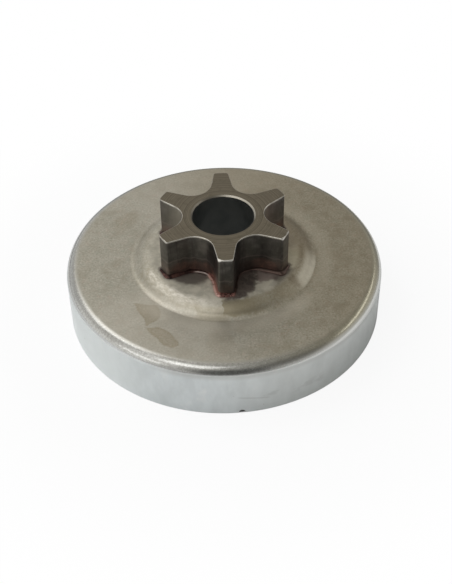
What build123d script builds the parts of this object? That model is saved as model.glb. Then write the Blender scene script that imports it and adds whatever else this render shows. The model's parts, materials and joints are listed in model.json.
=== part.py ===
"""Chainsaw clutch drum: a drawn steel cup with a spur chain sprocket brazed to its raised centre.

The origin is the centre of the rim that the drum stands on, open side down.
+Z runs along the axis towards the sprocket, and one tooth points along +Y. Millimetres.
"""

import os
from math import cos, radians, sin, tan

from build123d import *

# Drum cup, drawn from sheet, with its skirt turned on the outside
clutch_wall_diameter = 64.0
sheet_thickness = 2.2
skirt_turning_depth = 0.2
drum_height = 12.6
drawn_edge_radius = 2.5
rim_chamfer = 0.4

# Raised centre of the cup
boss_rise = 2.0
boss_slope_angle = 42.0
boss_ledge_width = 2.6
boss_crown_radius = 3.5

# Notch in the rim, which takes the drive wire of an oil pump's worm
rim_notch_radius = 0.65
rim_notch_centre_height = 0.15
rim_notch_direction = -86.0

# Spur sprocket
bore_diameter = 13.0
bore_chamfer = 0.3
tooth_count = 6
tooth_depth = 6.1
tooth_tip_width = 3.06
tooth_flank_angle = 9.5
tooth_corner_radius = 0.5
tooth_edge_break = 0.15
sprocket_height = 9.45

# Spigot of the sprocket, which passes through the cup
spigot_wall = 1.4
spigot_shoulder = 0.7
spigot_lip = 0.3
braze_gap = 0.05

# Copper braze fillets
outer_fillet_leg = 0.55
inner_fillet_leg = 0.5

# Radii and levels that follow from the sizes above
clutch_wall_radius = clutch_wall_diameter / 2
drawn_radius = clutch_wall_radius + sheet_thickness
turned_radius = drawn_radius - skirt_turning_depth
bore_radius = bore_diameter / 2
spigot_radius = bore_radius + spigot_wall
hub_hole_radius = spigot_radius + braze_gap
tooth_root_radius = spigot_radius + spigot_shoulder
tooth_tip_radius = tooth_root_radius + tooth_depth
boss_crown_corner = tooth_tip_radius + boss_ledge_width
boss_foot_corner = boss_crown_corner + boss_rise / tan(radians(boss_slope_angle))
underside_inset = sheet_thickness * tan(radians(boss_slope_angle / 2))
floor_level = drum_height - sheet_thickness
plateau_level = drum_height + boss_rise
plateau_underside = plateau_level - sheet_thickness
spigot_end_level = plateau_underside - inner_fillet_leg - spigot_lip

# Tooth gap: each straight flank leans back from its own tooth, and one arc rounds the root of the gap.
# The arc touches the root circle on the middle line of the gap and both flanks.
gap_half_angle = radians(180 / tooth_count + tooth_flank_angle)
flank_lean = radians(tooth_flank_angle)
flank_from_tooth_axis = tooth_tip_width / 2 * cos(flank_lean) + tooth_tip_radius * sin(flank_lean)
root_overlap = tooth_root_radius * sin(gap_half_angle) - flank_from_tooth_axis
root_arc_radius = root_overlap / (1 - sin(gap_half_angle))
flank_foot_x = root_arc_radius * cos(gap_half_angle)
flank_foot_y = tooth_root_radius + root_arc_radius * (1 - sin(gap_half_angle))
gap_mouth_y = 2 * tooth_tip_radius
gap_mouth_x = flank_foot_x + (gap_mouth_y - flank_foot_y) * tan(gap_half_angle)

with BuildSketch() as tooth_gap:
    with BuildLine():
        left_flank = Line((-gap_mouth_x, gap_mouth_y), (-flank_foot_x, flank_foot_y))
        root_arc = ThreePointArc(left_flank @ 1, (0, tooth_root_radius), (flank_foot_x, flank_foot_y))
        right_flank = Line(root_arc @ 1, (gap_mouth_x, gap_mouth_y))
        Line(right_flank @ 1, left_flank @ 0)
    make_face()

with BuildSketch(Plane.XY.offset(plateau_level)) as tooth_outline:
    Circle(tooth_tip_radius)
    with PolarLocations(0, tooth_count, start_angle=180 / tooth_count):
        add(tooth_gap.sketch, mode=Mode.SUBTRACT)
    tip_corners = tooth_outline.vertices().group_by(lambda corner: Vector(corner.X, corner.Y).length)[-1]
    fillet(tip_corners, tooth_corner_radius)


def braze_section(leg):
    """Section of a braze fillet that fills the corner of two faces."""
    with BuildSketch() as section:
        with BuildLine():
            Polyline((0, 0), (leg, 0), (0, leg), close=True)
        make_face()
    return section.sketch


# Drum cup: one band of sheet from the hub hole to the rim, revolved, then turned on the outside.
# The raised centre has a round crown and a crisp foot, and the rim a chamfer that lets the shoes in.
with BuildPart() as drum_cup:
    with BuildSketch(Plane.XZ):
        with BuildLine():
            outer_face = FilletPolyline(
                (hub_hole_radius, plateau_level),
                (boss_crown_corner, plateau_level),
                (boss_foot_corner, drum_height),
                (drawn_radius, drum_height),
                (drawn_radius, 0),
                radius=[boss_crown_radius, 0, drawn_edge_radius],
            )
            Polyline(
                outer_face @ 1,
                (clutch_wall_radius, 0),
                (clutch_wall_radius, floor_level),
                (boss_foot_corner - underside_inset, floor_level),
                (boss_crown_corner - underside_inset, plateau_underside),
                (hub_hole_radius, plateau_underside),
                outer_face @ 0,
            )
        make_face()
    revolve(axis=Axis.Z)

    with BuildSketch():
        Circle(drawn_radius + skirt_turning_depth)
        Circle(turned_radius, mode=Mode.SUBTRACT)
    extrude(amount=drum_height, mode=Mode.SUBTRACT)

    chamfer(drum_cup.edges().group_by(Axis.Z)[0].sort_by(SortBy.RADIUS)[0], length=rim_chamfer)

    notch_outward = Vector(1, 0, 0).rotate(Axis.Z, rim_notch_direction)
    with BuildSketch(Plane(notch_outward * clutch_wall_radius, x_dir=(0, 0, 1), z_dir=notch_outward)):
        with Locations((rim_notch_centre_height, 0)):
            Circle(rim_notch_radius)
    extrude(amount=2 * sheet_thickness, both=True, mode=Mode.SUBTRACT)
drum_cup.part.label = "drum_cup"

# Spur sprocket: the toothed blank, the spigot below it and the bearing bore through both
with BuildPart() as spur_sprocket:
    add(tooth_outline.sketch)
    extrude(amount=sprocket_height)
    chamfer(spur_sprocket.faces().sort_by(Axis.Z)[-1].edges(), length=tooth_edge_break)
    with BuildSketch(Plane.XY.offset(spigot_end_level)):
        Circle(spigot_radius)
    extrude(amount=plateau_level - spigot_end_level)
    Hole(bore_radius)
    bore_mouths = spur_sprocket.edges(Select.LAST).filter_by(GeomType.CIRCLE)
    chamfer(bore_mouths, length=bore_chamfer)
spur_sprocket.part.label = "spur_sprocket"

# Outer braze fillet: runs round the foot of the teeth, on the raised centre of the cup
outer_section = braze_section(outer_fillet_leg)
foot_path = tooth_outline.sketch.face().outer_wire()
foot_outward = (foot_path % 0).cross(Vector(0, 0, 1))

with BuildPart() as outer_braze_fillet:
    with BuildSketch(Plane(foot_path @ 0, x_dir=foot_outward, z_dir=-(foot_path % 0))):
        add(outer_section)
    sweep(path=foot_path)
outer_braze_fillet.part.label = "outer_braze_fillet"

# Inner braze fillet: a ring in the corner of the spigot and the underside of the cup
inner_section = braze_section(inner_fillet_leg)

with BuildPart() as inner_braze_fillet:
    with BuildSketch(Plane((0, 0, plateau_underside), x_dir=(1, 0, 0), z_dir=(0, 1, 0))):
        with Locations((spigot_radius, 0)):
            add(inner_section)
    revolve(axis=Axis.Z)
inner_braze_fillet.part.label = "inner_braze_fillet"

os.makedirs("parts", exist_ok=True)
for piece in (drum_cup, spur_sprocket, outer_braze_fillet, inner_braze_fillet):
    export_step(piece.part, f"parts/{piece.part.label}.step")
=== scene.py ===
"""Looks of a chainsaw clutch drum: a drawn cup, a spur sprocket and the copper braze that joins them."""

import json
import math

import bpy
import numpy as np
from mathutils import Matrix, Vector


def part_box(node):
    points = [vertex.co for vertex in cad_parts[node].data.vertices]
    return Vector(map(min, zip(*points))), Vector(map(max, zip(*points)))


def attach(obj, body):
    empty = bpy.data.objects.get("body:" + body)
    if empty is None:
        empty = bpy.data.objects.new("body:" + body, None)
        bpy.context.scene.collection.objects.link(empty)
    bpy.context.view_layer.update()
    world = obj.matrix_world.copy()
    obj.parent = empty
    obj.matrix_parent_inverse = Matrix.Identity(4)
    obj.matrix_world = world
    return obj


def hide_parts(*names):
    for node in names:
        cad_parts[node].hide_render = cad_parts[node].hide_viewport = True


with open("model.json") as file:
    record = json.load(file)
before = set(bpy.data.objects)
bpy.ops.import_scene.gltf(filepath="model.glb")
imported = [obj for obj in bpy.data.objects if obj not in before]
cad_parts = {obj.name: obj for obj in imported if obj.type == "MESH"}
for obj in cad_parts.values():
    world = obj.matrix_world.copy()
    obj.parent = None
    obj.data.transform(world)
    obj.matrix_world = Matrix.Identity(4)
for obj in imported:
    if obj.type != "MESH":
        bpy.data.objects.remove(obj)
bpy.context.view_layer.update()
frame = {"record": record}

MM = 0.001

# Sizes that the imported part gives, in millimetres
mount_sizes = {mount["name"]: mount["dims"] for mount in frame["record"]["mounts"]}
_, cup_high = (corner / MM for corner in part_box("drum_cup"))
sprocket_low, sprocket_high = (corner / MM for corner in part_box("spur_sprocket"))
BORE_RADIUS = mount_sizes["needle_bearing_bore"]["r_mm"]
WALL_RADIUS = mount_sizes["clutch_friction_wall"]["r_mm"]
SKIRT_RADIUS = cup_high.x
PLATEAU_LEVEL = cup_high.z
SPROCKET_TOP = sprocket_high.z
SPIGOT_END = sprocket_low.z

# Drum cup, in millimetres and degrees
SHEET_THICKNESS = 2.2
SKIRT_TURNING_DEPTH = 0.06
DRAWN_RADIUS = SKIRT_RADIUS + SKIRT_TURNING_DEPTH
DRAWN_EDGE_RADIUS = 2.5
DRAWN_EDGE_WANDER = 0.045
BOSS_RISE = 2.0
BOSS_SLOPE = 42.0
BOSS_CROWN_CORNER = 17.3
BOSS_CROWN_RADIUS = 5.0
BOSS_FOOT_RADIUS = 2.4
FLAT_LEVEL = PLATEAU_LEVEL - BOSS_RISE
FLOOR_LEVEL = FLAT_LEVEL - SHEET_THICKNESS
UNDERSIDE_LEVEL = PLATEAU_LEVEL - SHEET_THICKNESS
BOSS_FOOT_CORNER = BOSS_CROWN_CORNER + BOSS_RISE / math.tan(math.radians(BOSS_SLOPE))
UNDERSIDE_INSET = SHEET_THICKNESS * math.tan(math.radians(BOSS_SLOPE / 2))
INNER_BEND_RADIUS = 0.3
UNDERSIDE_BEND_RADIUS = 1.3
RIM_CHAMFER = 0.4
RIM_EDGE_RADIUS = 0.18
CUP_ARC_STEP = 3.0
CUP_STEPS_ROUND = 400

# Notch in the rim
NOTCH_RADIUS = 0.65
NOTCH_CENTRE_HEIGHT = 0.15
NOTCH_DIRECTION = -86.0
NOTCH_HALF_WIDTH = 0.99 * NOTCH_RADIUS
NOTCH_BLEND_HEIGHT = 3.0
NOTCH_STEPS = 25

# Mesh beside the notch, in half widths of it: where its corners end, and how far off the even steps stay
NOTCH_CORNERS_END = 1.02
EVEN_STEPS_START = 1.5

# Spur sprocket
TOOTH_COUNT = 6
TOOTH_PITCH_ANGLE = 360 / TOOTH_COUNT
TOOTH_TIP_RADIUS = 14.7
TOOTH_ROOT_RADIUS = 8.6
TOOTH_TIP_WIDTH = 3.06
TOOTH_FLANK_ANGLE = 9.5
TOOTH_CORNER_RADIUS = 0.5
TOOTH_EDGE_BREAK = 0.09
BORE_CHAMFER = 0.3
SPIGOT_RADIUS = 7.9
BRAZE_GAP = 0.05
HUB_HOLE_RADIUS = SPIGOT_RADIUS + BRAZE_GAP

# Points of the outline on half a tooth
TIP_POINTS = 9
CORNER_POINTS = 9
FLANK_POINTS = 22
ROOT_POINTS = 20

# Braze fillets
FOOT_BRAZE_LEG = 0.55
SPIGOT_BRAZE_LEG = 0.5
SPIGOT_BRAZE_STEPS = 240
FILLET_POINTS = 9

# Chips in the tooth edges: direction in degrees, depth and width
TOOTH_CHIPS = [
    (264.5, 0.34, 0.45), (275.0, 0.12, 0.35), (325.0, 0.26, 0.5),
    (333.5, 0.16, 0.4), (213.0, 0.12, 0.5), (100.0, 0.1, 0.6),
]

# Beads and thin places of the braze round the teeth: direction in degrees, height in fillet legs, and width
BRAZE_BEADS = [
    (262.0, 0.55, 1.6), (255.0, 0.3, 1.5), (268.0, 0.35, 0.9), (325.0, 0.5, 0.8), (214.0, 0.1, 1.2),
    (240.0, -0.1, 2.0), (146.0, 0.3, 1.0), (34.0, 0.3, 1.2), (287.0, -0.3, 2.4), (306.0, -0.35, 2.6),
]

# Waves once round: count, amplitude and phase
DRAWN_EDGE_WAVES = [(3, 0.5, 0.4), (7, 0.3, 1.9), (16, 0.2, 4.0)]
FOOT_BRAZE_WAVES = [(11, 0.12, 1.1), (23, 0.09, 2.3), (41, 0.07, 0.7)]
SPIGOT_BRAZE_WAVES = [(5, 0.1, 0.3), (9, 0.08, 2.0), (21, 0.05, 4.1)]

# Edges between faces that meet at more than this many degrees stay sharp
SHARP_ANGLE = 30


def rounded_loop(corners, arc_step):
    """Closed section with rounded corners. Each corner is (r, z, radius, step). Its arc touches the runs
    before and after it: it starts radius * tan(half the turn) ahead of the corner, and a point on it is
    start + radius * (forward * sin(a) + inward * (1 - cos(a))). The run behind the corner is divided into
    parts of about one step."""
    place = np.array([corner[:2] for corner in corners])
    radius = np.array([corner[2] for corner in corners])
    ahead = np.roll(place, -1, axis=0) - place
    ahead /= np.linalg.norm(ahead, axis=1, keepdims=True)
    forward = np.roll(ahead, 1, axis=0)
    turn = np.arctan2(forward[:, 0] * ahead[:, 1] - forward[:, 1] * ahead[:, 0], (forward * ahead).sum(1))
    reach = radius * np.tan(np.abs(turn) / 2)
    inward = np.sign(turn)[:, None] * np.stack([-forward[:, 1], forward[:, 0]], axis=1)
    start = place - forward * reach[:, None]
    end = place + ahead * reach[:, None]
    stretches = []
    for i, corner in enumerate(corners):
        count = 1 + math.ceil(abs(turn[i]) / math.radians(arc_step)) if radius[i] > 0 else 1
        a = np.linspace(0, abs(turn[i]), count)[:, None]
        stretches.append(start[i] + radius[i] * (forward[i] * np.sin(a) + inward[i] * (1 - np.cos(a))))
        run = start[(i + 1) % len(corners)] - end[i]
        parts = max(1, round(np.linalg.norm(run) / corner[3]))
        stretches.append(end[i] + run * (np.arange(1, parts) / parts)[:, None])
    return np.concatenate(stretches)


def closed_skin(name, points, finish, attributes=None):
    """Mesh over points[path, section], in millimetres, where both directions run round: each quad joins a
    point to the next on the path, on the section and on both. The sign of the enclosed volume turns the
    faces outwards."""
    path_count, section_count = points.shape[:2]
    index = np.arange(path_count * section_count).reshape(path_count, section_count)
    beside = np.roll(index, -1, axis=0)
    quads = np.stack([index, beside, np.roll(beside, -1, axis=1), np.roll(index, -1, axis=1)], axis=-1)
    quads = quads.reshape(-1, 4)
    places = points.reshape(-1, 3)
    a, b, c, d = (places[quads[:, k]] for k in range(4))
    if np.einsum("ij,ij->", a + b + c + d, np.cross(c - a, d - b)) < 0:
        quads = quads[:, ::-1]
    mesh = bpy.data.meshes.new(name)
    mesh.vertices.add(len(places))
    mesh.vertices.foreach_set("co", (places * MM).astype(np.float32).ravel())
    mesh.loops.add(quads.size)
    mesh.loops.foreach_set("vertex_index", quads.astype(np.int32).ravel())
    mesh.polygons.add(len(quads))
    mesh.polygons.foreach_set("loop_start", np.arange(0, quads.size, 4, dtype=np.int32))
    mesh.update(calc_edges=True)
    for key, values in (attributes or {}).items():
        stored = mesh.attributes.new(key, "FLOAT", "POINT")
        stored.data.foreach_set("value", values.astype(np.float32).ravel())
    mesh.shade_smooth()
    mesh.set_sharp_from_angle(angle=math.radians(SHARP_ANGLE))
    mesh.materials.append(finish)
    piece = bpy.data.objects.new(name, mesh)
    bpy.context.scene.collection.objects.link(piece)
    return piece


def half_tooth():
    """Points and outward normals from the middle of a tooth tip at +Y to the middle of the gap on its right.
    With the normal n(a) = (cos a, sin a), the tip is tip_radius * n and the corner is its centre +
    corner_radius * n. The flank is straight. The root is the gap arc's centre - root_arc * n, tangent to
    the flank and to the root circle."""
    lean = math.radians(TOOTH_FLANK_ANGLE)
    gap = math.radians(90 - TOOTH_PITCH_ANGLE / 2)
    gap_half = math.radians(TOOTH_PITCH_ANGLE / 2 + TOOTH_FLANK_ANGLE)
    flank_distance = TOOTH_TIP_WIDTH / 2 * math.cos(lean) + TOOTH_TIP_RADIUS * math.sin(lean)
    root_arc = (TOOTH_ROOT_RADIUS * math.sin(gap_half) - flank_distance) / (1 - math.sin(gap_half))
    root_centre = (TOOTH_ROOT_RADIUS + root_arc) * np.array([math.cos(gap), math.sin(gap)])
    flank_normal = np.array([math.cos(lean), math.sin(lean)])
    flank_along = np.array([-math.sin(lean), math.cos(lean)])
    inset = flank_distance - TOOTH_CORNER_RADIUS
    corner_reach = math.sqrt((TOOTH_TIP_RADIUS - TOOTH_CORNER_RADIUS) ** 2 - inset**2)
    corner_centre = inset * flank_normal + corner_reach * flank_along
    corner_start = math.atan2(corner_centre[1], corner_centre[0])

    def normals(start, end, count):
        a = np.linspace(start, end, count)
        return np.stack([np.cos(a), np.sin(a)], axis=1)

    tip = normals(math.pi / 2, corner_start, TIP_POINTS)[:-1]
    corner = normals(corner_start, lean, CORNER_POINTS)
    flank = np.repeat(flank_normal[None], FLANK_POINTS, axis=0)
    root = normals(lean, gap, ROOT_POINTS)
    flank_top = corner_centre + TOOTH_CORNER_RADIUS * flank_normal
    flank_foot = root_centre - root_arc * flank_normal
    share = np.linspace(0, 1, FLANK_POINTS + 2)[1:-1, None]
    points = np.concatenate([
        TOOTH_TIP_RADIUS * tip,
        corner_centre + TOOTH_CORNER_RADIUS * corner,
        flank_top + (flank_foot - flank_top) * share,
        root_centre - root_arc * root,
    ])
    return points, np.concatenate([tip, corner, flank, root])


def tooth_outline():
    """Points, outward normals, path lengths and total length of the whole outline: half a tooth, then its
    mirror image in the gap's middle line, at angle g, by the matrix (cos 2g, sin 2g; sin 2g, -cos 2g), and
    the pair turned round the axis."""
    points, normals = half_tooth()
    doubled = math.radians(180 - TOOTH_PITCH_ANGLE)
    mirror = np.array([[math.cos(doubled), math.sin(doubled)], [math.sin(doubled), -math.cos(doubled)]])
    turns = np.radians(-TOOTH_PITCH_ANGLE * np.arange(TOOTH_COUNT))
    spin = np.array([[np.cos(turns), -np.sin(turns)], [np.sin(turns), np.cos(turns)]]).transpose(2, 0, 1)

    def all_round(half):
        pair = np.concatenate([half, (half @ mirror)[-2:0:-1]])
        return (pair @ spin.transpose(0, 2, 1)).reshape(-1, 2)

    outline = all_round(points)
    step = np.linalg.norm(np.roll(outline, -1, axis=0) - outline, axis=1)
    return outline, all_round(normals), np.concatenate([[0], np.cumsum(step)[:-1]]), step.sum()


OUTLINE, OUTLINE_NORMAL, OUTLINE_LENGTH, OUTLINE_TOTAL = tooth_outline()
OUTLINE_ANGLE = np.degrees(np.arctan2(OUTLINE[:, 1], OUTLINE[:, 0]))


def bumps_along_outline(places):
    """Sum of bell curves along the outline: height * exp(-(path distance / width)^2), one for each
    (direction in degrees, height, width), where the direction picks the outline's point."""
    total = np.zeros(len(OUTLINE))
    for direction, height, width in places:
        away = (OUTLINE_ANGLE - direction + 180) % 360 - 180
        distance = np.abs(OUTLINE_LENGTH - OUTLINE_LENGTH[np.argmin(np.abs(away))])
        distance = np.minimum(distance, OUTLINE_TOTAL - distance)
        total += height * np.exp(-((distance / width) ** 2))
    return total


def waves(turns, terms):
    """Sum of sines, amplitude * sin(2 pi * count * turns + phase), for (count, amplitude, phase)."""
    return sum(amplitude * np.sin(2 * np.pi * count * turns + phase) for count, amplitude, phase in terms)


def cup_shell(finish):
    """Drum cup: its section carried round the axis. The drawn edge wanders a little before the skirt is
    turned, so r = min(drawn r + wander, skirt radius). In the notch the rim rises by the height of the
    notch's centre + sqrt(radius^2 - d^2)."""
    section = rounded_loop([
        (HUB_HOLE_RADIUS, PLATEAU_LEVEL, 0.0, 0.25),
        (BOSS_CROWN_CORNER, PLATEAU_LEVEL, BOSS_CROWN_RADIUS, 0.25),
        (BOSS_FOOT_CORNER, FLAT_LEVEL, BOSS_FOOT_RADIUS, 1.2),
        (DRAWN_RADIUS, FLAT_LEVEL, DRAWN_EDGE_RADIUS, 1.5),
        (SKIRT_RADIUS, 0.0, RIM_EDGE_RADIUS, 1.0),
        (WALL_RADIUS + RIM_CHAMFER, 0.0, 0.0, 1.0),
        (WALL_RADIUS, RIM_CHAMFER, 0.0, 1.5),
        (WALL_RADIUS, FLOOR_LEVEL, INNER_BEND_RADIUS, 1.5),
        (BOSS_FOOT_CORNER - UNDERSIDE_INSET, FLOOR_LEVEL, UNDERSIDE_BEND_RADIUS, 0.8),
        (BOSS_CROWN_CORNER - UNDERSIDE_INSET, UNDERSIDE_LEVEL, UNDERSIDE_BEND_RADIUS, 1.5),
        (HUB_HOLE_RADIUS, UNDERSIDE_LEVEL, 0.0, 1.0),
    ], CUP_ARC_STEP)
    notch_reach = NOTCH_HALF_WIDTH / SKIRT_RADIUS
    notch_fine = notch_reach * np.sin(np.linspace(-math.pi / 2, math.pi / 2, NOTCH_STEPS))
    notch_corners = NOTCH_CORNERS_END * notch_reach * np.array([-1, 1])
    even = np.linspace(-math.pi, math.pi, CUP_STEPS_ROUND, endpoint=False)
    even = even[np.abs(even) > EVEN_STEPS_START * notch_reach]
    from_notch = np.sort(np.concatenate([even, notch_fine, notch_corners]))[:, None]
    angle = from_notch + math.radians(NOTCH_DIRECTION)

    radius, height = section[:, 0][None], section[:, 1][None]
    edge_weight = np.clip((radius - DRAWN_RADIUS + DRAWN_EDGE_RADIUS) / DRAWN_EDGE_RADIUS, 0, 1)
    edge_weight = edge_weight * (height > FLOOR_LEVEL - DRAWN_EDGE_RADIUS / 2)
    wander = DRAWN_EDGE_WANDER * waves(angle / (2 * math.pi), DRAWN_EDGE_WAVES)
    radius = np.minimum(radius + wander * edge_weight, SKIRT_RADIUS)

    aside = SKIRT_RADIUS * from_notch
    inside = np.abs(from_notch) < NOTCH_CORNERS_END * notch_reach
    arch = np.sqrt(np.maximum(NOTCH_RADIUS**2 - aside**2, 0))
    rise = np.where(inside, NOTCH_CENTRE_HEIGHT + arch, 0)
    height = height + rise * np.clip(1 - height / NOTCH_BLEND_HEIGHT, 0, 1)
    points = np.stack([radius * np.cos(angle), radius * np.sin(angle), height], axis=-1)
    return closed_skin("cup_shell", points, finish, {"tooth_distance": distance_to_teeth(points)})


def distance_to_teeth(points):
    """Distance on the plan from each point to the sprocket's outline. Each point is first folded into half
    a tooth: its direction from the nearest tooth axis, as a positive angle, is set off from +Y."""
    half, _ = half_tooth()
    radius = np.hypot(points[..., 0], points[..., 1])
    direction = np.degrees(np.arctan2(points[..., 1], points[..., 0])) - 90
    half_pitch = TOOTH_PITCH_ANGLE / 2
    folded = np.radians(np.abs((direction + half_pitch) % TOOTH_PITCH_ANGLE - half_pitch))
    x, y = radius * np.sin(folded), radius * np.cos(folded)
    nearest = np.full(radius.shape, np.inf)
    for foot_x, foot_y in half:
        nearest = np.minimum(nearest, np.hypot(x - foot_x, y - foot_y))
    return nearest


def sprocket_body(finish):
    """Spur sprocket: stations of a closed section carried along the tooth outline. A station lies at
    (1 - blend) * (outline - inset * normal) + blend * rho * (direction from the axis), at its height. The
    flank has no inset, the edge break is a quarter round, and the bore and spigot are full circles, with a
    blend of 1."""
    edge_break = TOOTH_EDGE_BREAK + bumps_along_outline(TOOTH_CHIPS)
    quarter = np.linspace(0, math.pi / 2, 6)
    chamfer_top = BORE_RADIUS + BORE_CHAMFER
    chamfer_steps = np.linspace(0.1, BORE_CHAMFER, 4)
    low, high = PLATEAU_LEVEL, SPROCKET_TOP
    bore_ends = (high - BORE_CHAMFER, SPIGOT_END + BORE_CHAMFER)

    # Columns: inset in edge breaks, blend, rho, height, drop below it in edge breaks, and wear
    def station(inset, blend, rho, height, drop, wear):
        columns = np.broadcast_arrays(np.atleast_1d(inset), blend, rho, height, drop, wear)
        return np.stack(columns, axis=-1).astype(float)

    stations = np.concatenate([
        station(0, 0, 0, np.linspace(low, high - 1.0, 18), 0, 0),
        station(0, 0, 0, np.linspace(high - 0.95, high - 0.62, 4), 0, 0),
        station(1 - np.cos(quarter), 0, 0, high, 1 - np.sin(quarter), 1),
        station(1, np.array([0.012, 0.03]), chamfer_top, high, 0, 0),
        station(1, np.linspace(0.05, 0.94, 14), chamfer_top, high, 0, 0),
        station(1, np.array([0.985, 1.0]), chamfer_top, high, 0, np.array([0.0, 0.4])),
        station(0, 1, chamfer_top - chamfer_steps, high - chamfer_steps, 0, 0),
        station(0, 1, BORE_RADIUS, np.linspace(bore_ends[0] - 0.15, bore_ends[1], 14), 0, 0),
        station(0, 1, chamfer_top, SPIGOT_END, 0, 0.5),
        station(0, 1, np.linspace(chamfer_top + 0.3, SPIGOT_RADIUS, 3), SPIGOT_END, 0, 0),
        station(0, 1, SPIGOT_RADIUS, np.linspace(SPIGOT_END + 0.5, low, 6), 0, 0),
        station(0, np.linspace(0.9, 0.1, 5), SPIGOT_RADIUS, low, 0, 0),
    ])
    inset, blend, rho, height, drop, wear = (column[None] for column in stations.T)
    inset, drop = inset * edge_break[:, None], drop * edge_break[:, None]
    outer = OUTLINE[:, None] - inset[..., None] * OUTLINE_NORMAL[:, None]
    spoke = OUTLINE / np.linalg.norm(OUTLINE, axis=1, keepdims=True)
    plan = (1 - blend)[..., None] * outer + (blend * rho)[..., None] * spoke[:, None]
    level = np.broadcast_to(height, inset.shape) - drop
    points = np.concatenate([plan, level[..., None]], axis=-1)
    worn = np.broadcast_to(wear, inset.shape) * np.where(height > low + 1, 1, 0.6)
    return closed_skin("sprocket_body", points, finish, {"edge_wear": worn})


def hollow_fillet(run_out, climb):
    """Hollow section of a braze fillet: out = run_out * (1 - cos a) and up = climb * (1 - sin a), with a from
    0 on the wall to a right angle on the sheet, then back through the corner that it fills."""
    a = np.linspace(0, math.pi / 2, FILLET_POINTS)
    out = np.concatenate([1 - np.cos(a), [0.5, 0, 0]])
    up = np.concatenate([1 - np.sin(a), [0, 0, 0.5]])
    return run_out[:, None] * out, climb[:, None] * up


def foot_braze(finish):
    """Copper round the tooth feet: a hollow fillet along the outline, uneven by waves and by a few beads."""
    turns = OUTLINE_LENGTH / OUTLINE_TOTAL
    uneven = waves(turns, FOOT_BRAZE_WAVES)
    beads = bumps_along_outline(BRAZE_BEADS)
    run_out = FOOT_BRAZE_LEG * (0.8 + 0.8 * uneven + beads)
    climb = FOOT_BRAZE_LEG * (1.15 + 1.2 * uneven + beads)
    out, up = hollow_fillet(run_out, climb)
    plan = OUTLINE[:, None] + out[..., None] * OUTLINE_NORMAL[:, None]
    points = np.concatenate([plan, (PLATEAU_LEVEL + up)[..., None]], axis=-1)
    return closed_skin("foot_braze", points, finish)


def spigot_braze(finish):
    """Copper inside the cup: a hollow fillet in the corner of the spigot and the underside, carried round
    the axis."""
    turns = np.linspace(0, 1, SPIGOT_BRAZE_STEPS, endpoint=False)
    uneven = waves(turns, SPIGOT_BRAZE_WAVES)
    out, up = hollow_fillet(SPIGOT_BRAZE_LEG * (1 + uneven), SPIGOT_BRAZE_LEG * (1 + 0.8 * uneven))
    radius, angle = SPIGOT_RADIUS + out, 2 * math.pi * turns[:, None]
    points = np.stack([radius * np.cos(angle), radius * np.sin(angle), UNDERSIDE_LEVEL - up], axis=-1)
    return closed_skin("spigot_braze", points, finish)


class Signal:
    """A value that varies over a surface: one output socket, whose arithmetic adds Math nodes to the tree."""

    def __init__(self, tree, socket=None):
        self.tree = tree
        self.socket = socket

    def node(self, kind, settings=None, inputs=None, output=0):
        """Adds a node: its settings first, then the values or links of its sockets. Gives one output."""
        made = self.tree.nodes.new(kind)
        for name, value in (settings or {}).items():
            setattr(made, name, value)
        for name, value in (inputs or {}).items():
            if isinstance(value, Signal):
                self.tree.links.new(value.socket, made.inputs[name])
            else:
                made.inputs[name].default_value = value
        return Signal(self.tree, made.outputs[output] if len(made.outputs) else None)

    def maths(self, operation, *values):
        """A Math node."""
        return self.node("ShaderNodeMath", {"operation": operation}, dict(enumerate(values)))

    def __add__(self, other):
        return self.maths("ADD", self, other)

    def __sub__(self, other):
        return self.maths("SUBTRACT", self, other)

    def __rsub__(self, other):
        return self.maths("SUBTRACT", other, self)

    def __mul__(self, other):
        return self.maths("MULTIPLY", self, other)

    def __truediv__(self, other):
        return self.maths("DIVIDE", self, other)

    def __pow__(self, other):
        return self.maths("POWER", self, other)

    def __abs__(self):
        return self.maths("ABSOLUTE", self)

    def __or__(self, other):
        return self.maths("MAXIMUM", self, other)

    def __and__(self, other):
        return self.maths("MINIMUM", self, other)

    __radd__ = __add__
    __rmul__ = __mul__

    def rise(self, low, high):
        """0 below low, 1 above high and smooth between; it falls where low is above high."""
        return self.node("ShaderNodeMapRange", {"interpolation_type": "SMOOTHSTEP"},
                         {"Value": self, "From Min": low, "From Max": high})

    def mix(self, first, second, share, blend="MIX"):
        """Colour mix in this tree: the first where share is 0, the second where it is 1."""
        return self.node("ShaderNodeMix", {"data_type": "RGBA", "blend_type": blend},
                         {0: share, 6: first, 7: second}, output=2)


def tone(red, green, blue):
    """Linear colour of a display colour given as 0 to 255."""
    share = np.array([red, green, blue]) / 255
    linear = np.where(share <= 0.04045, share / 12.92, ((share + 0.055) / 1.055) ** 2.4)
    return (*linear.tolist(), 1.0)


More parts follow.
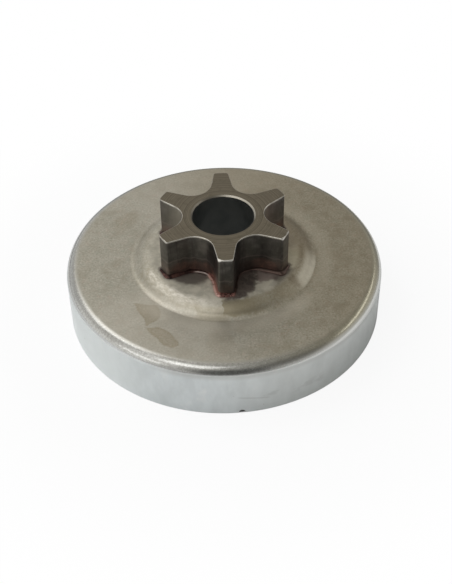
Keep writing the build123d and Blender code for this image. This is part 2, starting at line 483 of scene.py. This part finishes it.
class Finish:
    """A material under way: places on the piece in millimetres, patterns there and the shader they feed."""

    def __init__(self, name, cloud_size, grain_size):
        self.material = bpy.data.materials.new(name)
        self.material.use_nodes = True
        self.material.node_tree.nodes.clear()
        self.start = Signal(self.material.node_tree)
        self.mix = self.start.mix
        metres = self.start.node("ShaderNodeTexCoord", output="Object")
        self.place = self.vector("SCALE", metres, Scale=1 / MM)
        self.x, self.y, self.z = (
            self.start.node("ShaderNodeSeparateXYZ", inputs={0: self.place}, output=k) for k in range(3)
        )
        self.radius = (self.x * self.x + self.y * self.y) ** 0.5
        self.direction = self.start.maths("ARCTAN2", self.y, self.x) * math.degrees(1)
        self.cloud = self.noise(cloud_size, detail=4, roughness=0.6)
        self.grain = self.noise(grain_size, detail=2, roughness=0.7)

    def vector(self, operation, first, second=None, **sockets):
        """A Vector Math node."""
        inputs = {0: first, **sockets}
        if second is not None:
            inputs[1] = second
        return self.start.node("ShaderNodeVectorMath", {"operation": operation}, inputs)

    def combine(self, x, y, z):
        """A vector of three values."""
        return self.start.node("ShaderNodeCombineXYZ", inputs={0: x, 1: y, 2: z})

    def noise(self, size, detail=3.0, roughness=0.55, place=None, stretch=(1, 1, 1), warp=0.0):
        """Cloudy pattern around 0.5, with blotches of about that size in millimetres."""
        place = self.vector("MULTIPLY", place or self.place, stretch)
        return self.start.node("ShaderNodeTexNoise", inputs={
            "Vector": place, "Scale": 1 / size, "Detail": detail, "Roughness": roughness, "Distortion": warp})

    def attribute(self, name):
        """A value stored at the mesh's points."""
        return self.start.node("ShaderNodeAttribute", {"attribute_name": name}, output="Fac")

    def toward(self, direction, reach, soft):
        """1 within reach degrees of a direction round the axis, falling to 0 over soft degrees."""
        turn = self.start.maths("WRAP", self.direction - direction, 180.0, -180.0)
        return abs(turn).rise(reach + soft, reach)

    def oval(self, centre, size, angle):
        """Distance from an oval's centre on the plan, 1 on its border: the root of (along / a)^2 +
        (across / b)^2, with its half axes a and b."""
        c, s = math.cos(math.radians(angle)), math.sin(math.radians(angle))
        dx, dy = self.x - centre[0], self.y - centre[1]
        along = (dx * c + dy * s) / size[0]
        across = (dy * c - dx * s) / size[1]
        return (along * along + across * across) ** 0.5

    def polygon(self, corners, rounding=1.0):
        """Distance outside a convex shape of the plan, in millimetres and negative inside: the greatest of
        the distances past its sides, eased at the corners. The corners run anticlockwise."""
        farthest = None
        for (x0, y0), (x1, y1) in zip(corners, corners[1:] + corners[:1]):
            length = math.hypot(x1 - x0, y1 - y0)
            past = (self.x - x0) * ((y1 - y0) / length) - (self.y - y0) * ((x1 - x0) / length)
            farthest = past if farthest is None else past.maths("SMOOTH_MAX", farthest, past, rounding)
        return farthest

    def finish(self, colour, roughness, height, bump_distance, metallic=1.0):
        """Shader with its colour, roughness, bump in millimetres and share of bare metal."""
        normal = self.start.node("ShaderNodeBump", inputs={
            "Height": height, "Distance": bump_distance * MM, "Strength": 1.0})
        shader = self.start.node("ShaderNodeBsdfPrincipled", inputs={
            "Base Color": colour, "Roughness": roughness, "Normal": normal, "Metallic": metallic})
        self.start.node("ShaderNodeOutputMaterial", inputs={"Surface": shader})
        return self.material


# Tints that multiply the colour under them
STAIN_TINT = (0.80, 0.755, 0.685, 1)
FLUX_TINT = (0.72, 0.69, 0.62, 1)
OLIVE_TINT = (0.66, 0.60, 0.50, 1)


def face_colour(f):
    """Flat of the cup: warm grey, softly clouded, finely mottled, with painted light in front on the left and
    at the back, browner on the right, with dried drops.
    """
    broad = f.noise(7.0, detail=3)
    soft = f.noise(3.0, detail=2)
    hue = f.noise(1.1, detail=2, warp=0.6)
    face = f.mix(tone(182, 178, 165), tone(194, 190, 178), f.cloud.rise(0.3, 0.7))
    face = f.mix(face, tone(176, 180, 168), hue.rise(0.52, 0.75) * 0.4)
    face = f.mix(face, tone(196, 180, 166), hue.rise(0.46, 0.25) * 0.35)
    face = f.mix(face, tone(146, 140, 124), f.grain.rise(0.48, 0.72) * 0.5)
    face = f.mix(face, tone(222, 220, 212), f.grain.rise(0.48, 0.3) * 0.42)
    face = f.mix(face, tone(164, 157, 141), soft.rise(0.5, 0.68) * 0.35)
    face = f.mix(face, tone(168, 161, 144), broad.rise(0.5, 0.7) * 0.3)
    # Painted light: the flat lighter in front on the left and at the back
    face = f.mix(face, tone(214, 209, 198), (f.toward(-120, 22, 18) | f.toward(100, 20, 40)) * 0.38)
    face = f.mix(face, OLIVE_TINT, f.toward(22, 45, 75) * 0.67, "MULTIPLY")
    return f.mix(face, STAIN_TINT, dried_drops(f), "MULTIPLY")


def dried_drops(f):
    """Stains on the flat: two sharp drops in front on the left, a little darker along their border, and two
    faint ones. Gives where they lie."""
    ragged = (f.noise(2.2, detail=2) - 0.5) * 1.2
    upper = f.polygon([(-18.8, -14.2), (-16.4, -20.9), (-14.0, -19.0), (-13.3, -16.8), (-14.2, -14.9)], 0.6)
    lower = f.polygon(
        [(-16.6, -21.4), (-13.1, -26.3), (-11.2, -27.6), (-9.9, -26.6), (-11.4, -23.0), (-13.6, -21.5)], 0.6)
    drop = (upper & lower) + ragged
    sharp = drop.rise(0.2, -0.2) * (0.8 + drop.rise(-0.8, -0.1) * 0.2)
    front = (f.oval((-1.8, -26.0), (2.6, 3.4), 10) + ragged * 0.3).rise(1.35, 0.75) * 0.3
    side = (f.oval((-21.5, 13.0), (3.4, 2.2), 60) + ragged * 0.3).rise(1.3, 0.8) * 0.4
    return sharp | front | side


def boss_marks(f, face):
    """Raised centre: brown heat marks on the right, a painted highlight on the right slope, painted shade on
    the slope on the left and in front, a pale streaky flux deposit on the left whose bright streaks are
    partly a painted highlight, with painted shade between them, and dried olive flux in front with a crisp
    scalloped border. Gives the colour and where the deposit and its highlight lie."""
    slope = f.radius.rise(15.6, 17.4) * f.radius.rise(21.2, 19.6)
    crown = f.radius.rise(14.9, 16.4) * f.radius.rise(20.0, 18.2)
    face = f.mix(face, tone(130, 115, 91), f.toward(34, 36, 34) * crown * 0.42)
    # Painted shade: the slope darker on the left and in front
    painted_slope_shade = f.toward(182, 24, 24) | f.toward(-104, 8, 10) * 0.6
    face = f.mix(face, tone(152, 146, 130), painted_slope_shade * slope * 0.35)
    # Painted highlight: a pale patch on the right slope
    right_slope_highlight = f.toward(-19, 7, 17) * f.radius.rise(16.8, 18.2) * f.radius.rise(20.0, 19.6)
    face = f.mix(face, tone(216, 211, 196), right_slope_highlight * (0.35 + f.cloud * 0.6))
    smear = f.oval((13.9, -9.7), (2.0, 1.0), -52) + (f.noise(0.9, detail=3) - 0.5) * 0.9
    face = f.mix(face, tone(104, 90, 68), smear.rise(1.7, 0.5) * 0.42)
    apron = f.toward(-90, 38, 26) | f.toward(12, 30, 30) * 0.35
    apron = apron * f.radius.rise(19.6, 20.8) * f.radius.rise(25.0, 22.0)
    face = f.mix(face, tone(222, 216, 202), apron * 0.4)

    along = f.combine(f.direction * math.radians(BOSS_CROWN_CORNER), f.radius * 2.2, 0.0)
    streaky = f.noise(1.5, detail=5, roughness=0.65, place=along).rise(0.36, 0.64)
    band = f.radius.rise(14.9, 16.6) * f.radius.rise(18.6, 17.3)
    # Pale flux deposit in bright streaks, partly a painted highlight
    crust_and_glint = f.toward(-132, 20, 16) * band * (0.2 + streaky * 0.8)
    face = f.mix(face, tone(224, 219, 208), crust_and_glint * 0.65)
    # Painted shade between the bright streaks
    streak_gap_shade = f.toward(-138, 20, 14) * f.radius.rise(14.6, 15.6) * f.radius.rise(19.4, 18.4) * (1 - streaky)
    face = f.mix(face, tone(150, 142, 122), streak_gap_shade * 0.45)

    scallop = f.noise(1.7, detail=1) - 0.5
    border = f.radius + scallop * 2.0
    faint = (f.direction + scallop * 30).rise(-117, -105) * f.direction.rise(-86, -93)
    faint = faint * border.rise(17.2, 18.2) * f.radius.rise(20.9, 20.2)
    face = f.mix(face, FLUX_TINT, faint * 0.6, "MULTIPLY")
    sweep = (f.direction + scallop * 12).rise(-92.5, -91.0) * f.direction.rise(-30.0, -52.0)
    olive = sweep * border.rise(15.9, 16.2) * border.rise(19.7, 18.7)
    pool = f.toward(-84, 8, 12)
    face = f.mix(face, tone(146, 137, 114), olive * (0.36 + pool * 0.44))
    return face, crust_and_glint


def plateau_marks(f, face):
    """Top of the raised centre: matt grey, browner on the right, burnt dark by the furnace before the front
    tooth and in patches on the right, with painted shade in the gap on the left and along the tooth feet,
    where it is partly soot. Gives the colour and where the matt grey lies."""
    plateau = f.radius.rise(16.9, 15.2)
    ragged = (f.noise(1.3, detail=4) - 0.5) * 2.2
    matt = f.mix(tone(159, 155, 142), tone(186, 181, 166), f.cloud.rise(0.35, 0.6))
    matt = f.mix(matt, tone(196, 188, 160), f.toward(-16, 10, 10) * 0.6)
    matt = f.mix(matt, tone(136, 118, 88), f.toward(35, 26, 30) * 0.6)
    face = f.mix(face, matt, plateau * 0.8)
    haze = f.polygon([(6.4, -7.6), (6.6, -11.2), (10.6, -10.3), (11.6, -9.4), (11.0, -7.3)]) + ragged
    face = f.mix(face, tone(122, 108, 104), haze.rise(0.3, -0.3) * plateau * 0.8)
    # Painted shade and painted reflection of the dark flank in the gap on the left
    left_gap_shade = ragged * 0.6 + f.polygon([
        (-11.6, -8.6), (-9.8, -10.5), (-6.7, -11.2), (-3.9, -10.2), (-2.7, -8.0), (-4.0, -6.6), (-8.2, -6.0),
    ])
    face = f.mix(face, tone(82, 75, 70), left_gap_shade.rise(0.6, -0.6) * 0.85)
    right_gap = ragged + f.polygon([
        (-1.2, -14.2), (-0.5, -15.9), (2.2, -16.0), (4.2, -15.3),
        (6.0, -12.6), (6.8, -9.3), (6.5, -6.5), (1.6, -6.4),
    ])
    burnt = f.mix(tone(60, 49, 47), tone(90, 79, 74), f.noise(1.4, detail=3, warp=0.8).rise(0.4, 0.62))
    face = f.mix(face, burnt, right_gap.rise(0.6, -0.6) * 0.9)
    spot = f.polygon([(9.8, -9.6), (10.8, -11.4), (13.2, -9.2), (14.4, -7.0), (12.4, -6.8)]) + ragged * 0.7
    face = f.mix(face, tone(78, 68, 61), spot.rise(0.7, -0.7) * 0.75)
    # Dark along the tooth feet: furnace black, and partly painted shade where the teeth stand on the plateau
    foot = f.attribute("tooth_distance") + (f.noise(0.9, detail=3) - 0.5) * 1.0
    soot_and_shade = f.mix(tone(62, 46, 44), tone(96, 83, 77), f.toward(-72, 12, 8))
    soot_and_shade = f.mix(soot_and_shade, tone(112, 84, 76), f.toward(-90, 6, 3))
    soot_and_shade = f.mix(soot_and_shade, tone(150, 130, 119), f.toward(-105, 8, 3))
    return f.mix(face, soot_and_shade, foot.rise(1.1, 0.35) * plateau * 0.75), plateau


def skirt_colour(f):
    """Turned skirt: pale and cool, with painted light on the left and painted shade on the right and at the
    top in front, soft wiped blotches and small marks.
    """
    unrolled = f.combine(f.direction * math.radians(SKIRT_RADIUS), f.z, 0.0)
    streaks = f.noise(2.6, detail=3, place=unrolled, stretch=(1, 0.4, 1))
    wiped = f.noise(5.0, detail=3, place=unrolled, stretch=(1, 0.7, 1))
    turned = f.mix(tone(211, 215, 215), tone(219, 223, 223), streaks.rise(0.35, 0.65))
    turned = f.mix(turned, tone(200, 204, 203), wiped.rise(0.46, 0.7) * 0.45)
    turned = f.mix(turned, tone(232, 233, 231), wiped.rise(0.42, 0.28) * 0.5)
    # Painted light: lighter on the left
    turned = f.mix(turned, tone(236, 239, 237), f.toward(-164, 26, 28) * 0.65)
    # Painted shade: darker on the right
    turned = f.mix(turned, tone(198, 198, 193), f.toward(-46, 22, 34) * 0.4)
    # Painted shade: darker at the top in front and on the right, under the edge
    turned = f.mix(turned, tone(190, 190, 187), f.z.rise(9.2, 10.7) * f.toward(-68, 38, 16) * 0.7)
    return f.mix(turned, tone(160, 160, 157), skirt_marks(f, unrolled) * 0.8)


def skirt_marks(f, unrolled):
    """Small marks on the skirt: fine specks, a long scratch and two smudges, set by direction and height."""
    specks = f.noise(0.7, detail=1, place=unrolled).rise(0.74, 0.8) * f.noise(7.0, detail=1).rise(0.5, 0.62)
    along = f.direction + 82
    away = f.z - 4.0 + along * 0.1 + (f.noise(1.2) - 0.5) * 0.4
    scratch = abs(away).rise(0.3, 0.05) * abs(along).rise(6.0, 4.5)
    smear = f.noise(1.6, detail=2, place=unrolled, stretch=(0.6, 1, 1)).rise(0.42, 0.62)
    wide = f.toward(-62, 5, 3) * abs(f.z - 4.0).rise(1.6, 0.4)
    small = f.toward(-76, 2, 2) * abs(f.z - 4.5).rise(0.8, 0.2)
    return specks | scratch * 0.35 | smear * (wide | small) * 0.3


def inside_colour(f, rings):
    """Inside of the cup: a dull underside, browned round the spigot, and the turned friction wall."""
    under = f.mix(tone(150, 145, 134), tone(172, 167, 156), f.cloud.rise(0.35, 0.65))
    under = f.mix(under, tone(120, 96, 84), f.radius.rise(13.0, 9.0) * 0.7)
    turned = f.mix(tone(150, 149, 146), tone(190, 189, 186), rings.rise(0.3, 0.7))
    return f.mix(under, turned, f.radius.rise(WALL_RADIUS - 0.4, WALL_RADIUS - 0.1))


def drum_steel():
    """Bare drawn steel: a dull face, a raised centre marked by the furnace and painted with light and shade,
    an edge worn bare with painted glints, a bright turned skirt with painted light and shade, and a plain
    inside, told apart by radius and by height above the middle of the sheet."""
    f = Finish("drum_steel", cloud_size=1.9, grain_size=0.42)
    rings = f.noise(0.22, detail=3, place=f.combine(f.z, 0.0, 0.0))
    half_inset = UNDERSIDE_INSET / 2
    down = f.radius.rise(BOSS_CROWN_CORNER - half_inset, BOSS_FOOT_CORNER - half_inset)
    middle = PLATEAU_LEVEL - SHEET_THICKNESS / 2 - BOSS_RISE * down
    outside = (f.z - middle).rise(-0.3, 0.3) | f.radius.rise(WALL_RADIUS + 0.6, WALL_RADIUS + 1.0)
    edge = f.radius.rise(SKIRT_RADIUS - 2.8, SKIRT_RADIUS - 1.2) * outside
    skirt = f.radius.rise(SKIRT_RADIUS - 0.12, SKIRT_RADIUS - 0.015)
    inside = 1 - outside

    colour, crust_and_glint = boss_marks(f, face_colour(f))
    colour, matt = plateau_marks(f, colour)
    # Edge colour: worn bare metal, with painted glints on its shoulder and a painted highlight low on the
    # left
    wear_and_glint = f.mix(tone(170, 170, 167), tone(192, 193, 191), f.grain.rise(0.3, 0.7))
    shoulder = f.radius.rise(SKIRT_RADIUS - 3.0, SKIRT_RADIUS - 2.4)
    shoulder = shoulder * f.radius.rise(SKIRT_RADIUS - 0.8, SKIRT_RADIUS - 1.6)
    sparkle = f.noise(0.3, detail=1).rise(0.6, 0.74) * shoulder
    wear_and_glint = f.mix(wear_and_glint, tone(236, 236, 232), sparkle * 0.55)
    # Painted highlight: a lighter line low on the edge on the left
    lower_left_highlight = f.z.rise(FLAT_LEVEL - 1.0, FLAT_LEVEL - 1.9) * f.toward(-165, 35, 35)
    wear_and_glint = f.mix(wear_and_glint, tone(206, 208, 208), lower_left_highlight * 0.7)
    olive = f.mix(tone(170, 165, 146), tone(186, 182, 165), f.grain.rise(0.3, 0.7))
    olive = f.mix(olive, tone(200, 201, 198), f.z.rise(FLAT_LEVEL - 0.4, FLAT_LEVEL - 1.3))
    wear_and_glint = f.mix(olive, wear_and_glint, f.toward(-150, 62, 45))
    colour = f.mix(colour, wear_and_glint, edge * 0.9)
    colour = f.mix(colour, skirt_colour(f), skirt)
    colour = f.mix(colour, inside_colour(f, rings), inside)

    dull = crust_and_glint * 0.7 | matt * 0.75
    roughness = 0.42 + (f.cloud - 0.5) * 0.16 + (f.grain - 0.5) * 0.14 * (1 - edge) + dull * 0.1
    boss_right = f.toward(20, 50, 40) * f.radius.rise(21.5, 20.0)
    roughness = roughness - edge * 0.21 + skirt * 0.17 + boss_right * 0.1
    fine = f.grain * (1 - edge * 0.6) + f.cloud * 0.5 * (1 - edge)
    height = fine + rings * (skirt | inside) * 0.3 + crust_and_glint * f.cloud
    return f.finish(colour, roughness, height, bump_distance=0.0035, metallic=1 - dull)


def sprocket_steel():
    """Hardened steel: turned end faces, a honed bore whose mouth has a painted highlight, dark flanks with a
    copper wash and painted light in the gaps on the left and right, and bright edges, partly worn and partly
    painted highlight.
    """
    f = Finish("sprocket_steel", cloud_size=1.6, grain_size=0.35)
    rings = f.noise(0.28, detail=3, roughness=0.7, place=f.combine(f.radius, 0.0, 0.0))
    end_face = f.z.rise(SPROCKET_TOP - 0.12, SPROCKET_TOP - 0.04)
    bore = f.radius.rise(BORE_RADIUS + 0.12, BORE_RADIUS + 0.03)

    face = f.mix(tone(94, 88, 75), tone(148, 139, 123), rings.rise(0.25, 0.75))
    face = f.mix(face, tone(106, 100, 85), f.cloud.rise(0.5, 0.7) * 0.5)
    groove = abs(f.radius - BORE_RADIUS - 1.5).rise(0.22, 0.06)
    face = f.mix(face, tone(84, 78, 66), groove * 0.15)
    streaks = f.noise(0.6, detail=3, stretch=(1, 1, 0.08))
    flank = f.mix(tone(90, 89, 86), tone(110, 107, 104), f.cloud.rise(0.35, 0.7))
    flank = f.mix(flank, tone(70, 64, 65), streaks.rise(0.5, 0.68) * 0.4)
    # Painted light: the flanks lighter in the gaps on the left and on the right
    flank = f.mix(flank, tone(156, 152, 144), f.toward(180, 14, 12) * 0.75)
    flank = f.mix(flank, tone(140, 128, 124), f.toward(0, 14, 12) * 0.6)
    flank = copper_wash(f, flank)

    colour = f.mix(flank, face, end_face)
    mouth = f.radius.rise(BORE_RADIUS + BORE_CHAMFER + 0.04, BORE_RADIUS + BORE_CHAMFER)
    mouth = mouth * f.z.rise(SPROCKET_TOP - BORE_CHAMFER - 0.1, SPROCKET_TOP - BORE_CHAMFER)
    # Bore mouth, with a painted highlight at the back on the right
    mouth_highlight = f.mix(tone(138, 133, 122), tone(182, 177, 166), f.toward(38, 40, 35))
    honed = f.mix(tone(162, 165, 164), tone(184, 186, 183), f.noise(4.5, detail=1).rise(0.35, 0.65))
    colour = f.mix(colour, honed, bore)
    colour = f.mix(colour, mouth_highlight, mouth)
    patchy = f.noise(2.5, detail=2).rise(0.3, 0.6)
    # Bright edges: worn, and partly a painted highlight, more on the front teeth
    wear_and_glint = (f.attribute("edge_wear") + (f.grain - 0.5) * 0.5).rise(0.4, 0.9) * (0.4 + patchy * 0.5)
    wear_and_glint = wear_and_glint * (0.4 + f.y.rise(9.0, 3.0) * 0.6)
    colour = f.mix(colour, tone(222, 219, 212), wear_and_glint)

    roughness = 0.38 + (f.cloud - 0.5) * 0.2 * (1 - bore) - bore * 0.06 - wear_and_glint * 0.1
    height = f.grain * 0.5 * (1 - bore) + rings * end_face + streaks * (1 - end_face) * (1 - bore) * 0.6
    return f.finish(colour, roughness, height, bump_distance=0.004)


def copper_wash(f, flank):
    """Copper drawn up the flanks by the furnace heat, with a pale line where it stopped."""
    above = f.z - PLATEAU_LEVEL
    reach = 2.8 + (f.noise(3.2, detail=2, stretch=(1, 1, 0)) - 0.5) * 2.2
    wash = (above - reach).rise(1.1, -1.1) * (0.3 + f.radius.rise(14.5, 12.5) * 0.7)
    copper = f.mix(tone(136, 112, 105), tone(164, 130, 119), f.noise(1.1, detail=3).rise(0.42, 0.66))
    copper = f.mix(copper, tone(136, 110, 102), above.rise(1.5, 0.3) * 0.4)
    flank = f.mix(flank, copper, wash * (0.85 - f.toward(-66, 12, 10) * 0.6))
    tide = abs(above - reach - 1.0 + (f.cloud - 0.5) * 0.5).rise(0.3, 0.05)
    return f.mix(flank, tone(140, 130, 127), tide * 0.45)


def braze_copper():
    """Furnace copper: dull maroon, browner on the right, red and specked before the front tooth, with painted
    highlights:
    rose on the left of that tooth and a pale line along the gap beside it."""
    f = Finish("braze_copper", cloud_size=0.9, grain_size=0.25)
    up = f.z - PLATEAU_LEVEL
    colour = f.mix(tone(74, 55, 52), tone(106, 77, 70), f.cloud.rise(0.4, 0.7))
    colour = f.mix(colour, tone(50, 38, 38), f.grain.rise(0.52, 0.75) * 0.5)
    colour = f.mix(colour, tone(40, 32, 32), f.noise(1.7, detail=3).rise(0.46, 0.6) * 0.65)
    colour = f.mix(colour, tone(90, 77, 71), f.toward(-48, 34, 8) * 0.8)
    red = f.toward(-89, 5.5, 2.5)
    colour = f.mix(colour, tone(164, 114, 106), red * f.cloud.rise(0.35, 0.6) * 0.8)
    colour = f.mix(colour, tone(206, 160, 152), red * f.noise(0.35, detail=1).rise(0.58, 0.7) * 0.6)
    # Painted highlight: rose on the bead at the left of the front tooth, lightest at its foot
    rose = f.toward(-104, 8, 3) * (0.5 + f.cloud.rise(0.35, 0.55) * 0.5)
    rosy = f.mix(tone(206, 168, 156), tone(138, 92, 82), up.rise(0.04, 0.3))
    colour = f.mix(colour, rosy, rose * 0.8)
    # Painted highlight: a thin pale line on the bead along the gap on the left
    pale = f.toward(-122, 7, 5) * up.rise(0.2, 0.08) * up.rise(-0.05, 0.02)
    colour = f.mix(colour, tone(186, 174, 166), pale * 0.6)
    painted_highlights = rose | pale
    roughness = 0.34 + (f.cloud - 0.5) * 0.25
    height = f.cloud + f.grain * 0.5
    return f.finish(colour, roughness, height, bump_distance=0.01, metallic=1 - painted_highlights * 0.7)


def dress():
    """The four finished pieces, each in place of its plain solid."""
    copper = braze_copper()
    pieces = [
        (cup_shell(drum_steel()), "drum_cup", "drum_steel"),
        (sprocket_body(sprocket_steel()), "spur_sprocket", "sprocket_steel"),
        (foot_braze(copper), "outer_braze_fillet", "braze_copper"),
        (spigot_braze(copper), "inner_braze_fillet", "braze_copper"),
    ]
    for piece, node, slot in pieces:
        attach(piece, "root")
        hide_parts(node)


# Photograph's camera, fitted to the drum's ellipses and edges
PHOTO_LONG_SIDE_PX = 584
FOCAL_LENGTH_PX = 1118.78
SENSOR_WIDTH = 36.0
CAMERA_AZIMUTH = -1.4386
CAMERA_ELEVATION = 42.343
CAMERA_ROLL = -0.952
CAMERA_DISTANCE = 248.91
CAMERA_TARGET = (0.3286, -0.0083, 2.1346)


def direction_to(azimuth, elevation):
    """Unit vector from the drum: azimuth 0 is in front, towards -Y, and 90 is on the right, towards +X."""
    a, e = math.radians(azimuth), math.radians(elevation)
    return Vector((math.sin(a) * math.cos(e), -math.cos(a) * math.cos(e), math.sin(e)))


def place_camera():
    """Camera at the photograph's place, turned about its own axis by the roll."""
    camera = bpy.data.objects.new("camera", bpy.data.cameras.new("camera"))
    bpy.context.scene.collection.objects.link(camera)
    camera.data.sensor_width = SENSOR_WIDTH
    camera.data.lens = FOCAL_LENGTH_PX * SENSOR_WIDTH / PHOTO_LONG_SIDE_PX
    camera.data.clip_start = 0.01
    back = direction_to(CAMERA_AZIMUTH, CAMERA_ELEVATION)
    right = Vector((0, 0, 1)).cross(back).normalized()
    turn = Matrix.Rotation(math.radians(CAMERA_ROLL), 3, back)
    right = turn @ right
    up = back.cross(right)
    pose = Matrix((right, up, back)).transposed().to_4x4()
    pose.translation = (Vector(CAMERA_TARGET) + back * CAMERA_DISTANCE) * MM
    camera.matrix_world = pose
    bpy.context.scene.camera = camera


# Studio: the floor's half side in metres and its colours, and the radiance of the room that the metal mirrors
WHITE = (1.0, 1.0, 1.0, 1)
FLOOR_HALF_SIDE = 3.0
FLOOR_COLOUR = (0.90, 0.92, 0.95, 1)
# Dark grey that the floor glows inside the rim: painted shade under the drum
FLOOR_INSIDE_RIM = (0.042, 0.043, 0.042, 1)
FLOOR_DIM = (0.3, 0.305, 0.31, 1)
LEFT_WALL_LOW = (1.10, 1.09, 1.06, 1)
LEFT_WALL_HIGH = (0.74, 0.725, 0.69, 1)
RIGHT_WALL_LOW = (0.62, 0.61, 0.585, 1)
RIGHT_WALL_HIGH = (0.35, 0.34, 0.31, 1)
WALL_BEHIND = (0.29, 0.295, 0.3, 1)
CAMERA_SIDE = (0.14, 0.14, 0.135, 1)

# Lamps: azimuth and elevation in degrees, distance, width and height in metres, radiance, seen in the metal
LAMPS = {
    "key_light": (-131, 55, 0.9, 0.42, 0.4, 1.25, True),
    "side_light": (-57, 42, 0.9, 0.5, 0.75, 0.3, True),
    "low_light": (-60, 27, 0.9, 0.4, 0.2, 0.75, True),
    "top_light": (-36, 64, 0.9, 0.4, 0.36, 1.1, True),
    "right_light": (112, 36, 0.9, 0.7, 0.1, 1.5, True),
    "fill_light": (-100, 50, 1.2, 0.8, 0.8, 1.4, False),
}


def soft_box(name, azimuth, elevation, distance, width, height, radiance, mirrored):
    """Area lamp that faces the drum; a flat lamp of area A and power P has the radiance P / (pi * A)."""
    lamp = bpy.data.lights.new(name, "AREA")
    lamp.shape = "RECTANGLE"
    lamp.size, lamp.size_y = width, height
    lamp.energy = radiance * math.pi * width * height
    box = bpy.data.objects.new(name, lamp)
    back = direction_to(azimuth, elevation)
    box.location = back * distance
    box.rotation_euler = (-back).to_track_quat("-Z", "Y").to_euler()
    box.visible_camera = False
    box.visible_glossy = mirrored
    bpy.context.scene.collection.objects.link(box)


def flat_panel(name, corners):
    """One square face over four corners, in metres."""
    mesh = bpy.data.meshes.new(name)
    mesh.from_pydata(corners, [], [(0, 1, 2, 3)])
    panel = bpy.data.objects.new(name, mesh)
    bpy.context.scene.collection.objects.link(panel)
    return panel


def pale_floor():
    """White floor: lit near the drum so that it keeps a soft shadow, lighter to the eye than in the metal,
    and plain white further out. Inside the rim it glows an even dark grey, a painted shade under the drum,
    which the bore mirrors.
    In the metal it dims where the white ends, some way in front of the drum and behind it."""
    half = FLOOR_HALF_SIDE
    floor = flat_panel("floor", [(-half, -half, 0), (half, -half, 0), (half, half, 0), (-half, half, 0)])
    material = bpy.data.materials.new("floor_white")
    material.use_nodes = True
    material.node_tree.nodes.clear()
    start = Signal(material.node_tree)
    place = start.node("ShaderNodeTexCoord", output="Object")
    away = start.node("ShaderNodeVectorMath", {"operation": "LENGTH"}, {0: place}, output="Value")
    camera, glossy, through = (
        start.node("ShaderNodeLightPath", output=ray)
        for ray in ("Is Camera Ray", "Is Glossy Ray", "Is Transmission Ray")
    )
    y = start.node("ShaderNodeSeparateXYZ", inputs={0: place}, output=1)
    past_rim = away.rise(SKIRT_RADIUS * MM - 0.0004, SKIRT_RADIUS * MM)
    far = away.rise(0.04, 0.085)
    dim = (y.rise(-0.09, -0.18) | y.rise(0.045, 0.075)) * (glossy | through)
    share = camera * past_rim * (0.9 + far * 0.1) | (glossy | through) * far | 1 - past_rim
    lit = start.node("ShaderNodeBsdfDiffuse", inputs={"Color": FLOOR_COLOUR})
    plain = start.mix(start.mix(FLOOR_INSIDE_RIM, WHITE, past_rim), FLOOR_DIM, dim)
    white = start.node("ShaderNodeEmission", inputs={"Color": plain, "Strength": 1.0})
    both = start.node("ShaderNodeMixShader", inputs={0: share, 1: lit, 2: white})
    start.node("ShaderNodeOutputMaterial", inputs={"Surface": both})
    floor.data.materials.append(material)


def studio_world():
    """Plain room, white to the eye. The metal shows it white at the horizon, with a pale wall on the left,
    dim ones on the right and behind, and the dark side where the camera stands, each a smooth step of the
    direction's height, of its x, or of its closeness to one direction."""
    world = bpy.data.worlds.new("studio")
    world.use_nodes = True
    world.node_tree.nodes.clear()
    start = Signal(world.node_tree)
    direction = start.node("ShaderNodeTexCoord", output="Generated")
    across = start.node("ShaderNodeSeparateXYZ", inputs={0: direction}, output=0)
    height = start.node("ShaderNodeSeparateXYZ", inputs={0: direction}, output=2)

    def near(azimuth, elevation, reach):
        """1 within a third of the reach, in degrees, of a direction, falling to 0 at the reach."""
        close = start.node("ShaderNodeVectorMath", {"operation": "DOT_PRODUCT"},
                           {0: direction, 1: direction_to(azimuth, elevation)}, output="Value")
        return close.rise(math.cos(math.radians(reach)), math.cos(math.radians(reach / 3)))

    right_wall = start.mix(RIGHT_WALL_LOW, RIGHT_WALL_HIGH, height.rise(0.3, 0.65))
    left_wall = start.mix(LEFT_WALL_LOW, LEFT_WALL_HIGH, height.rise(0.1, 0.55))
    walls = start.mix(left_wall, right_wall, across.rise(-0.55, 0.45))
    room = start.mix(WHITE, walls, height.rise(-0.05, 0.05))
    left_behind = near(-135, 10, 30) * height.rise(0.0, 0.1) * 0.45
    low_behind = near(165, 6, 48) * height.rise(0.45, 0.15) * 0.9
    room = start.mix(room, WALL_BEHIND, left_behind | low_behind)
    dark_side = near(2, 20, 36) | near(46, 35, 31) * 0.62 | near(-32, 8, 22) * 0.4
    dark_side = dark_side * height.rise(-0.09, 0.01)
    room = start.mix(room, CAMERA_SIDE, dark_side)
    seen = start.node("ShaderNodeLightPath", output="Is Camera Ray")
    room = start.mix(room, WHITE, seen)
    background = start.node("ShaderNodeBackground", inputs={"Color": room, "Strength": 1.0})
    start.node("ShaderNodeOutputWorld", inputs={"Surface": background})
    bpy.context.scene.world = world


def light_studio():
    """Soft boxes round the drum, one of them only to fill the shadows, then the room and the floor."""
    for name, lamp in LAMPS.items():
        soft_box(name, *lamp)
    studio_world()
    pale_floor()


dress()
place_camera()
light_studio()
bpy.context.scene.view_settings.view_transform = "Standard"
